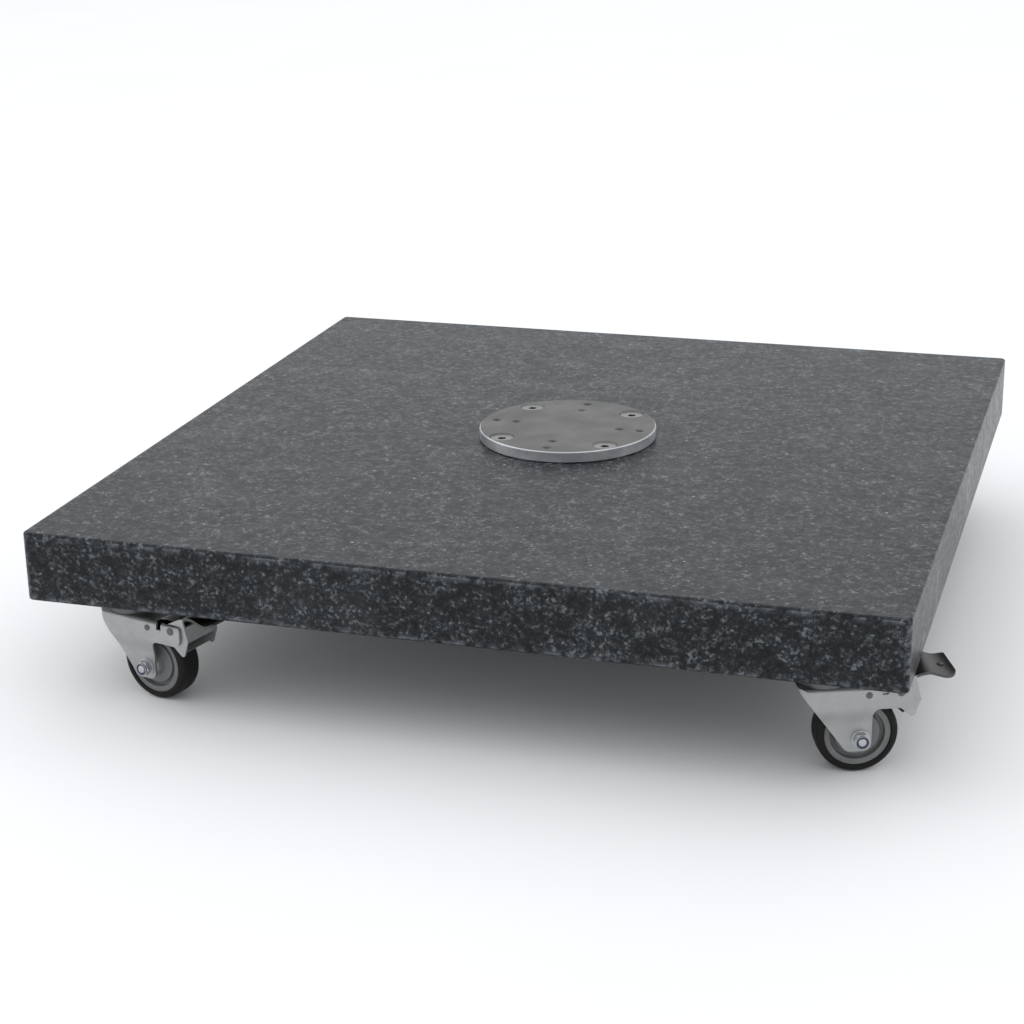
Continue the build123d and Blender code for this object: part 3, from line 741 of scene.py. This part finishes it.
def slab_outline():
    """The slab seen from above, anticlockwise, as points with their outward directions."""
    reach = (slab_high.xy - slab_low.xy) / 2 - Vector((CORNER_RADIUS, CORNER_RADIUS))
    outline = []
    for quarter, (x, y) in enumerate(((1, 1), (-1, 1), (-1, -1), (1, -1))):
        corner = Vector((x * reach.x, y * reach.y, 0))
        for step in range(CORNER_STEPS + 1):
            angle = math.radians(90 * (quarter + step / CORNER_STEPS))
            out = Vector((math.cos(angle), math.sin(angle), 0))
            outline.append((corner + out * CORNER_RADIUS, out))
        place, out = outline[-1]
        travel = Vector((-out.y, out.x, 0)) * 2 * (reach.y if quarter % 2 else reach.x)
        count = round(travel.length / SLAB_STEP)
        outline += [(place + travel * step / count, out) for step in range(1, count)]
    return outline


def chip(place):
    """How far the stone has lost its edge at a place."""
    wave = EDGE_WAVE * (0.5 + 0.5 * noise.noise(place / (4 * MM)))
    bite = noise.noise(place / CHIP_SPACING) + 0.45 * noise.noise(place / (2.2 * MM))
    return wave + CHIP_DEPTH * max(0.0, bite - CHIP_SHARE)


def slab_ring(outline, inset, level, wear):
    """One ring of the slab, drawn in from the outline and worn by a share of the chips."""
    points = []
    middle = (slab_low.z + slab_high.z) / 2
    for place, out in outline:
        here = place - out * inset
        here.z = level
        if wear > 0:
            inward = (-out + Vector((0, 0, 1 if level < middle else -1))).normalized()
            here += inward * chip(here) * wear
        points.append(tuple(here))
    return points


def slab_edge(outline, level, up):
    """The rings of one eased edge, from the flat face to the sawn side."""
    rows = [slab_ring(outline, ARRIS + FACE_WORN, level, 0.06)]
    for step in range(ARRIS_STEPS, -1, -1):
        angle = math.radians(90 * step / ARRIS_STEPS)
        inset = ARRIS * (1 - math.cos(angle))
        rise = ARRIS * (1 - math.sin(angle))
        wear = math.sin(2 * angle) ** 0.5 if 0 < step < ARRIS_STEPS else 0.35
        rows.append(slab_ring(outline, inset, level + up * rise, wear))
    rows.append(slab_ring(outline, 0, level + up * (ARRIS + FACE_WORN), 0.06))
    rows.append(slab_ring(outline, 0, level + up * (ARRIS + 3 * FACE_WORN), 0))
    return rows


def slab_face(outline, level):
    """The rings of a flat face, from its middle to near its edge."""
    centre = (slab_low.xy + slab_high.xy) / 2
    half = (slab_high.x - slab_low.x) / 2
    rows = [[(centre.x, centre.y, level)] * len(outline)]
    for inset in FACE_RINGS:
        share = 1 - inset / half
        rows.append([(x * share, y * share, level) for (x, y, _), _ in outline])
    return rows


def edge_wear_and_highlight(mesh):
    """Marks how near each point is to an edge of the slab, for the stone's lighter edge colour: bruised
    stone at the chips and a painted highlight, full on the upright corners.
    """
    marks = mesh.attributes.new("edge", "FLOAT", "POINT")
    for vertex, mark in zip(mesh.vertices, marks.data):
        gaps = [min(abs(vertex.co[axis] - slab_low[axis]), abs(slab_high[axis] - vertex.co[axis]))
                for axis in range(3)]
        upright = gaps[2] > ARRIS
        share = max(0.0, 1 - sorted(gaps)[1] / (CORNER_RADIUS if upright else ARRIS))
        mark.value = share if upright else share * FLAT_EDGE_WEAR_AND_HIGHLIGHT
    return mesh


def granite_slab():
    """A sawn and honed slab: softly rounded edges with small chips, closed at both middles."""
    outline = slab_outline()
    rings = slab_face(outline, slab_low.z)
    rings += slab_edge(outline, slab_low.z, 1)
    rings += slab_edge(outline, slab_high.z, -1)[::-1]
    rings += slab_face(outline, slab_high.z)[::-1]
    mesh = edge_wear_and_highlight(smooth(lofted("granite_slab", rings), 50))
    piece("honed_slab", painted(mesh, "granite"), "base", "granite", "granite_slab")


# ---------------------------------------------------------------- plate

def countersink_cutter():
    """What one countersunk screw hole takes out of the plate."""
    top = plate_high.z
    mouth = SCREW_HEAD / 2 + SCREW_RECESS
    bore = (SCREW_SHANK + HOLE_PLAY) / 2
    low = plate_low.z - CUT_OVER
    profile = [
        (0, low), (bore, low), (bore, top - mouth + bore), (mouth + CUT_OVER, top + CUT_OVER),
        (0, top + CUT_OVER),
    ]
    return turned("countersink", profile)


def tap_cutter():
    """What one tapped hole takes out of the plate, with its chamfered mouth."""
    top = plate_high.z
    bore = TAP_MAJOR / 2
    mouth = bore + TAP_MOUTH
    low = plate_low.z - CUT_OVER
    profile = [
        (0, low), (bore, low), (bore, top - TAP_MOUTH), (mouth + CUT_OVER, top + CUT_OVER),
        (0, top + CUT_OVER),
    ]
    return turned("tap", profile, 60)


def tapped_places(level):
    """Every tapped hole's middle at a level."""
    return [place for circle in TAP_CIRCLES for place in on_circle(circle, TAP_COUNT, 0, level)]


def mounting_plate():
    """A turned disc with four countersunk holes and eight tapped ones."""
    low, high = plate_low.z, plate_high.z
    radius = (plate_high.x - plate_low.x) / 2
    points = [
        (0, low), (radius - PLATE_CHAMFER, low), (radius, low + PLATE_CHAMFER),
        (radius, high - PLATE_CHAMFER), (radius - PLATE_CHAMFER, high), (0, high),
    ]
    disc = turned("mounting_plate", points, PLATE_STEPS)
    cuts = [moved(countersink_cutter(), Matrix.Translation(place))
            for place in on_circle(SCREW_CIRCLE, SCREW_COUNT, SCREW_START, 0)]
    cuts += [moved(tap_cutter(), Matrix.Translation(place)) for place in tapped_places(0)]
    cutter = bpy.data.objects.new("cutter", joined("cutter", *cuts))
    bpy.context.scene.collection.objects.link(cutter)
    settings = {"object": cutter, "operation": "DIFFERENCE", "solver": "EXACT"}
    drilled = applied(disc, ("BOOLEAN", settings))
    bpy.data.objects.remove(cutter)
    mesh = painted(eased(closed(drilled), 0.18 * MM, 28), "plate_steel", "plate_edge")
    # The chamfers and the side take the lighter steel, a painted highlight along the rim.
    for face in mesh.polygons:
        outer = face.center.xy.length > radius - 2 * PLATE_CHAMFER
        face.material_index = 1 if outer and abs(face.normal.z) < 0.8 else 0
    piece("turned_plate", mesh, "base", "plate_steel", "mounting_plate")


def plate_threads():
    """The thread in each tapped hole."""
    start = plate_low.z + TAP_RIDGE
    length = plate_high.z - TAP_MOUTH - TAP_RIDGE - start
    values = {
        "Radius": TAP_MAJOR / 2, "Pitch": TAP_PITCH, "Turns": length / TAP_PITCH, "Ridge": TAP_RIDGE,
        "Material": FINISHES["plate_steel"],
    }
    mesh = smooth(grown("plate_threads", tapped_places(start), thread_tree(), values), 40)
    piece("plate_threads", mesh, "base", "plate_steel")


def countersunk_screw():
    """A socket-head countersunk screw hanging from its head's top face at Z = 0."""
    head = SCREW_HEAD / 2
    shank = SCREW_SHANK / 2
    socket = hexagon(SCREW_SOCKET)
    lead = 0.5 * MM
    rings = [
        ring(0, -SCREW_SOCKET_DEPTH - lead * 2),
        ring(socket, -SCREW_SOCKET_DEPTH),
        ring(socket, -lead),
        ring(SCREW_SOCKET / 2 + 3 * lead / 2, 0),
    ]
    outside = [
        (head - SCREW_RIM, 0), (head, 0), (head, -SCREW_RIM), (shank, shank - head - SCREW_RIM),
        (shank, lead - SCREW_LENGTH), (shank - lead, -SCREW_LENGTH), (0, -SCREW_LENGTH),
    ]
    radii = [0, SCREW_RIM * 0.7, 0, 0, 0, 0, 0]
    rings += [ring(radius, level) for radius, level in softened(outside, radii)]
    return lofted("countersunk_screw", rings)


def plate_screws():
    """The four screws that hold the plate down."""
    places = on_circle(SCREW_CIRCLE, SCREW_COUNT, SCREW_START, screws_high.z)
    template = smooth(eased(countersunk_screw(), 0.12 * MM, 25), 60)
    mesh = set_at("plate_screws", template, places, "plate_screw")
    piece("countersunk_screws", mesh, "base", "screw_steel", "plate_screws")


# ---------------------------------------------------------------- casters

def caster_place(name):
    """A caster's own frame, stood under the slab."""
    pin = joints[f"{name}_swivel_turn"]["pos_m"]
    across = joints[f"{name}_wheel_spin"]["axis"]
    turn = math.atan2(-across[0], across[1])
    return Matrix.Translation((pin[0], pin[1], slab_low.z)) @ Matrix.Rotation(turn, 4, "Z")


def own_place(name, joint):
    """A joint's place in its caster's own frame."""
    return caster_place(name).inverted() @ Vector(joints[f"{name}_{joint}"]["pos_m"])


AXLE_PLACE = own_place("front_right", "wheel_spin")


def own_reach(node):
    """How far a node reaches along its caster's own Y."""
    back = caster_place("front_right").inverted()
    reach = [(back @ vertex.co).y for vertex in frame["nodes"][node].data.vertices]
    return max(reach)


tyre_low, tyre_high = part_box("front_right_tyre")
WHEEL_RADIUS = (tyre_high - tyre_low).z / 2
TREAD = 2 * own_reach("front_right_tyre")
HUB_END = own_reach("front_right_wheel_bearings")
NUT_SIDE = own_reach("front_right_axle_bolt") - AXLE_HEAD


def on_axle(mesh):
    """Lays a shape that was turned about Z along the axle, its +Z end towards -Y."""
    return moved(mesh, Matrix.Translation(AXLE_PLACE) @ Matrix.Rotation(math.radians(90), 4, "X"))


def mirrored(profile):
    """A profile drawn for one half, continued to its mirror image."""
    return [(radius, -level) for radius, level in reversed(profile)] + profile


def tyre():
    """Solid rubber with a slightly crowned tread and the mould's parting line round it."""
    core = WHEEL_RADIUS - TYRE_HEIGHT
    half = TREAD / 2
    line = PARTING_WIDTH / 2
    tread = WHEEL_RADIUS - PARTING_LINE
    points = [
        (WHEEL_RADIUS, 0), (WHEEL_RADIUS, line / 2), (tread, line),
        (tread - TYRE_CROWN / 2, half - 1.3 * TYRE_SHOULDER), (tread - TYRE_CROWN, half), (core, half),
    ]
    radii = [0, 0, 0, 0, TYRE_SHOULDER, 0.6 * MM]
    side = softened(points, radii, 8)
    inner = (core, half - 1.2 * MM)
    profile = side[1:-1] + [(core + 0.6 * MM, half), (core, half - 0.6 * MM), inner]
    profile = mirrored(profile)
    return smooth(turned("tyre", profile, WHEEL_STEPS, tube=True), 40)


def wheel_core():
    """Moulded core: a rim ring, a deep groove, a raised disc and the hub."""
    core = WHEEL_RADIUS - TYRE_HEIGHT
    rim = TREAD / 2 - RIM_RECESS
    groove = core - RIM_WALL
    disc = groove - GROOVE_WIDTH
    face = rim - DISC_RECESS / 2
    hub = HUB_END - BEARING_FLANGE
    points = [
        (BEARING_BORE / 2, 0), (BEARING_BORE / 2, hub), (HUB / 2, hub), (HUB / 2 + 0.6 * MM, face),
        (disc - 0.3 * MM, face), (disc + 0.2 * MM, WEB_WIDTH / 2), (groove, WEB_WIDTH / 2), (groove, rim),
        (core, rim), (core, 0),
    ]
    radii = [0, 0.5 * MM, 0.5 * MM, 1.2 * MM, 0.9 * MM, 0.9 * MM, 0.9 * MM, 0.6 * MM, 0.5 * MM, 0]
    half = softened(points, radii, 5)[1:-1]
    profile = half + [(radius, -level) for radius, level in reversed(half)]
    return smooth(turned("wheel_core", profile, WHEEL_STEPS, tube=True), 40)


def washer(inner, outer, low, high):
    """A flat ring with softly rounded edges."""
    rim = 0.2 * MM
    points = [(inner, low), (outer, low), (outer, high), (inner, high)]
    return turned("washer", softened(points, [rim, rim, rim, rim], 3, loop=True), tube=True)


def axle_nut():
    """Washers on both sides, the lock nut and the lock ring in its end."""
    seat = NUT_SIDE
    leg = seat - WASHER_THICKNESS
    plain = washer(AXLE / 2, WASHER / 2, leg, seat)
    pair = [plain, moved(plain, Matrix.Rotation(math.radians(180), 4, "X"))]
    nut_end = seat + AXLE_NUT
    nut = eased(hex_block("nut", AXLE_HEX, seat, nut_end - 0.5 * MM, AXLE), 0.15 * MM, 20)
    outer = AXLE / 2 + NYLON_WALL
    collar = [
        (outer - COLLAR_WALL, nut_end - MM), (outer, nut_end - MM), (outer, nut_end + NYLON_RING),
        (outer - COLLAR_WALL, nut_end + NYLON_RING),
    ]
    collar = turned("collar", softened(collar, [0, 0, 0.25 * MM, 0.1 * MM], 3, loop=True), tube=True)
    insert = [
        (AXLE / 2, nut_end), (outer - COLLAR_WALL, nut_end),
        (outer - COLLAR_WALL, nut_end + NYLON_RING - 0.2 * MM), (AXLE / 2, nut_end + NYLON_RING - 0.2 * MM),
    ]
    insert = turned("insert", softened(insert, [0, 0, 0.1 * MM, 0.3 * MM], 3, loop=True), tube=True)
    metal = [painted(smooth(part, 40), "zinc_steel") for part in (*pair, nut, collar)]
    soft = painted(smooth(insert, 40), "lock_ring")
    return on_axle(joined("axle_nut", *metal, soft))


def axle_bolt():
    """A hexagon-head bolt through both legs, with a chamfered end."""
    seat = NUT_SIDE
    end = seat + AXLE_NUT + NYLON_RING + AXLE_PROUD
    lead = 0.9 * MM
    shank = [(0, -seat), (AXLE / 2, -seat), (AXLE / 2, end - lead), (AXLE / 2 - lead, end), (0, end)]
    shank = turned("shank", softened(shank, [0, 0, 0.2 * MM, 0.2 * MM, 0], 2))
    head = eased(hex_block("head", AXLE_HEX, -seat - AXLE_HEAD, -seat), 0.15 * MM, 20)
    return on_axle(joined("axle_bolt", smooth(shank, 40), head))


def bolt_set():
    """A hexagon-head bolt and its washer, hanging from the top plate's underside at Z = 0."""
    disc = washer(BOLT_SHANK / 2, WASHER / 2, -WASHER_THICKNESS, 0)
    head = hex_block("head", BOLT_HEX, -WASHER_THICKNESS - BOLT_HEAD, -WASHER_THICKNESS)
    head = eased(head, 0.15 * MM, 20)
    shank_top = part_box("caster_bolts")[1].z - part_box("front_right_top_plate")[0].z
    radius = BOLT_SHANK / 2
    shank = turned("shank", [(0, 0), (radius, 0), (radius, shank_top), (0, shank_top)], ROUND_STEPS // 2)
    return joined("bolt_set", smooth(disc, 40), head, smooth(shank, 40))


def caster_bolts():
    """Sixteen bolt and washer sets under the top plates."""
    seat = slab_low.z - TOP_PLATE
    places = []
    for name in CASTERS:
        pin = joints[f"{name}_swivel_turn"]["pos_m"]
        for x in (-1, 1):
            for y in (-1, 1):
                across = pin[0] + x * BOLT_SPACING_X / 2
                along = pin[1] + y * BOLT_SPACING_Y / 2
                places.append((across, along, seat))
    mesh = set_at("caster_bolts", bolt_set(), places, "screw_steel")
    piece("hexagon_bolts", mesh, "base", "screw_steel", "caster_bolts")


def swivel_balls():
    """The ball ring in each swivel head."""
    low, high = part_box("swivel_balls")
    level = (low.z + high.z) / 2
    pins = [joints[f"{name}_swivel_turn"]["pos_m"] for name in CASTERS]
    circle = (high.x - low.x) - (pins[0][0] - pins[1][0]) - BALL
    values = {"Balls": BALLS_EACH, "Circle": circle, "Ball": BALL, "Material": FINISHES["ball_steel"]}
    mesh = grown("swivel_balls", [(pin[0], pin[1], level) for pin in pins], ball_tree(), values)
    piece("bearing_balls", mesh, "base", "ball_steel", "swivel_balls")


def pedal_dimple(own_pedal):
    """A small raised pip pressed into the foot near its tip."""
    tip = max(vertex.co.x for vertex in own_pedal.vertices)
    x = tip - DIMPLE_FROM_TIP
    near = [vertex.co for vertex in own_pedal.vertices if abs(vertex.co.x - x) < DIMPLE_WIDTH]
    level = max(place.z for place in near)
    radius = DIMPLE_WIDTH / 2
    points = [(0, -2 * DIMPLE_SUNK), (radius, -2 * DIMPLE_SUNK)]
    for step in range(DIMPLE_STEPS + 1):
        angle = math.radians(90 * step / DIMPLE_STEPS)
        points.append((radius * math.cos(angle), DIMPLE_HEIGHT * math.sin(angle) - DIMPLE_SUNK))
    points[-1] = (0, DIMPLE_HEIGHT - DIMPLE_SUNK)
    return moved(smooth(turned("dimple", points, 48), 40), Matrix.Translation((x, 0, level)))


def two_tone_pedal(pedal):
    """The pedal with its pip: bright cheeks and lip, and a darker foot."""
    dimple = painted(pedal_dimple(pedal), "pedal_steel")
    painted(pedal, "fork_steel", "pedal_steel")
    fork_end = max(vertex.co.x for vertex in own_shape("front_right_fork", 0).vertices)
    for face in pedal.polygons:
        face.material_index = 1 if face.center.x > fork_end and face.center.z > -FOOT_DEPTH else 0
    return joined("brake_pedal", pedal, dimple)


def own_shape(node, bevel, angle=32):
    """A front right caster's node in its own frame, with eased edges."""
    return moved(from_node(node, bevel, angle), caster_place("front_right").inverted())


def caster_shapes():
    """Each swivelling piece's shape in the caster's own frame: its body, slot and mesh."""
    own = "front_right_"
    pedal = two_tone_pedal(own_shape(own + "brake_pedal", 0.35 * MM))
    shapes = {
        "fork": ("swivel", "fork_steel", own_shape(own + "fork", 0.4 * MM)),
        "lower_race": ("swivel", "race_steel", own_shape(own + "lower_race", 0.2 * MM)),
        "swivel_bush": ("swivel", "nylon", own_shape(own + "swivel_bush", 0.2 * MM)),
        "axle_sleeve": ("swivel", "zinc_steel", own_shape(own + "axle_sleeve", 0.2 * MM)),
        "axle_bolt": ("swivel", "zinc_steel", axle_bolt()),
        "axle_nut": ("swivel", "zinc_steel", axle_nut()),
        "pivot_pins": ("swivel", "race_steel", own_shape(own + "pivot_pins", 0.35 * MM)),
        "tyre": ("wheel", "tyre", on_axle(tyre())),
        "wheel_core": ("wheel", "wheel_core", on_axle(wheel_core())),
        "wheel_bearings": ("wheel", "nylon", own_shape(own + "wheel_bearings", 0.25 * MM)),
        "brake_pedal": ("brake", "pedal_steel", pedal),
        "brake_pad": ("brake", "brake_rubber", own_shape(own + "brake_pad", 0.6 * MM)),
    }
    return shapes


def casters():
    """Four casters: one set of shapes, stood in four places."""
    shapes = caster_shapes()
    for name in CASTERS:
        stood = caster_place(name)
        for part, (body, slot, mesh) in shapes.items():
            copy = moved(mesh, stood)
            if not copy.materials or None in list(copy.materials):
                painted(copy, slot)
            node = f"{name}_{part}"
            piece(f"{node}_piece", copy, f"{name}_{body}", RECORD_SLOTS.get(slot, slot), node)
        node = f"{name}_top_plate"
        top = painted(from_node(node, 0.3 * MM), "fork_steel")
        piece(f"{node}_piece", top, "base", "fork_steel", node)


def kingpin_set():
    """A swivel's kingpin with its washer and nut, hanging from its head's top at Z = 0."""
    low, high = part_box("kingpins")
    end = low.z - high.z
    nut_top = end + KINGPIN_NUT
    lead = 0.8 * MM
    head = KINGPIN_HEAD / 2
    shank = KINGPIN / 2
    pin = [
        (0, 0), (head, 0), (head, -KINGPIN_HEAD_HEIGHT), (shank, -KINGPIN_HEAD_HEIGHT),
        (shank, end + lead), (shank - lead, end), (0, end),
    ]
    pin = turned("kingpin", softened(pin, [0, 0.5 * MM, 0.5 * MM, 0.4 * MM, 0.2 * MM, 0.2 * MM, 0], 3))
    disc = washer(KINGPIN / 2, KINGPIN_WASHER / 2, nut_top, nut_top + WASHER_THICKNESS)
    nut = eased(hex_block("kingpin_nut", KINGPIN_HEX, end, nut_top, KINGPIN), 0.2 * MM, 20)
    return joined("kingpin_set", smooth(pin, 40), smooth(disc, 40), nut)


def kingpins():
    """The kingpin of each swivel."""
    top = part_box("kingpins")[1].z
    pins = [joints[f"{name}_swivel_turn"]["pos_m"] for name in CASTERS]
    mesh = set_at("kingpins", kingpin_set(), [(pin[0], pin[1], top) for pin in pins], "zinc_steel")
    piece("kingpins_and_nuts", mesh, "base", "zinc_steel", "kingpins")


def anchors():
    """The brass sleeves glued into the slab."""
    for node in ("plate_anchors", "caster_anchors"):
        piece(f"{node}_piece", painted(from_node(node, 0.3 * MM), "brass"), "base", "brass", node)


# ---------------------------------------------------------------- studio

def studio():
    """Pale floor under one broad overhead panel, with a softer light from the left."""
    floor_mesh = bpy.data.meshes.new("floor")
    corners = [(x * FLOOR, y * FLOOR, 0) for x, y in ((-1, -1), (1, -1), (1, 1), (-1, 1))]
    floor_mesh.from_pydata(corners, [], [(0, 1, 2, 3)])
    floor_mesh.materials.append(studio_floor())
    floor = bpy.data.objects.new("floor", floor_mesh)
    bpy.context.scene.collection.objects.link(floor)
    world = bpy.data.worlds.new("studio")
    world.use_nodes = True
    bpy.context.scene.world = world
    sky = world.node_tree.nodes["Background"]
    sky.inputs["Color"].default_value = (*WALL_COLOUR, 1)
    sky.inputs["Strength"].default_value = WALLS
    area = math.pi * (PANEL_SIZE / 2) ** 2
    soft_light("overhead", PANEL_PLACE, (*PANEL_PLACE[:2], 0), PANEL_SIZE, PANEL * area * math.pi)
    soft_light("from_left", SIDE_LIGHT_PLACE, (0, 0, 0.1), SIDE_LIGHT_SIZE, SIDE_LIGHT)


def soft_light(name, place, target, size, power):
    """A round panel that faces its target."""
    light = bpy.data.lights.new(name, "AREA")
    light.shape = "DISK"
    light.size = size
    light.energy = power
    lamp = bpy.data.objects.new(name, light)
    lamp.location = place
    lamp.rotation_euler = (Vector(place) - Vector(target)).to_track_quat("Z", "Y").to_euler()
    bpy.context.scene.collection.objects.link(lamp)


def camera():
    """The camera, set by where it stands, its heading, its tilt and its roll."""
    lens = bpy.data.cameras.new("camera")
    lens.lens = CAMERA_LENS
    lens.sensor_width = SENSOR
    eye = bpy.data.objects.new("camera", lens)
    heading = Matrix.Rotation(math.radians(CAMERA_HEADING), 4, "Z")
    tilt = Matrix.Rotation(math.radians(CAMERA_TILT), 4, "X")
    roll = Matrix.Rotation(math.radians(CAMERA_ROLL), 4, "Z")
    eye.matrix_world = Matrix.Translation(CAMERA_PLACE) @ heading @ tilt @ roll
    bpy.context.scene.collection.objects.link(eye)
    bpy.context.scene.camera = eye


camera()
studio()
granite_slab()
mounting_plate()
plate_threads()
plate_screws()
caster_bolts()
swivel_balls()
anchors()
kingpins()
casters()
bpy.context.scene.view_settings.view_transform = "Standard"
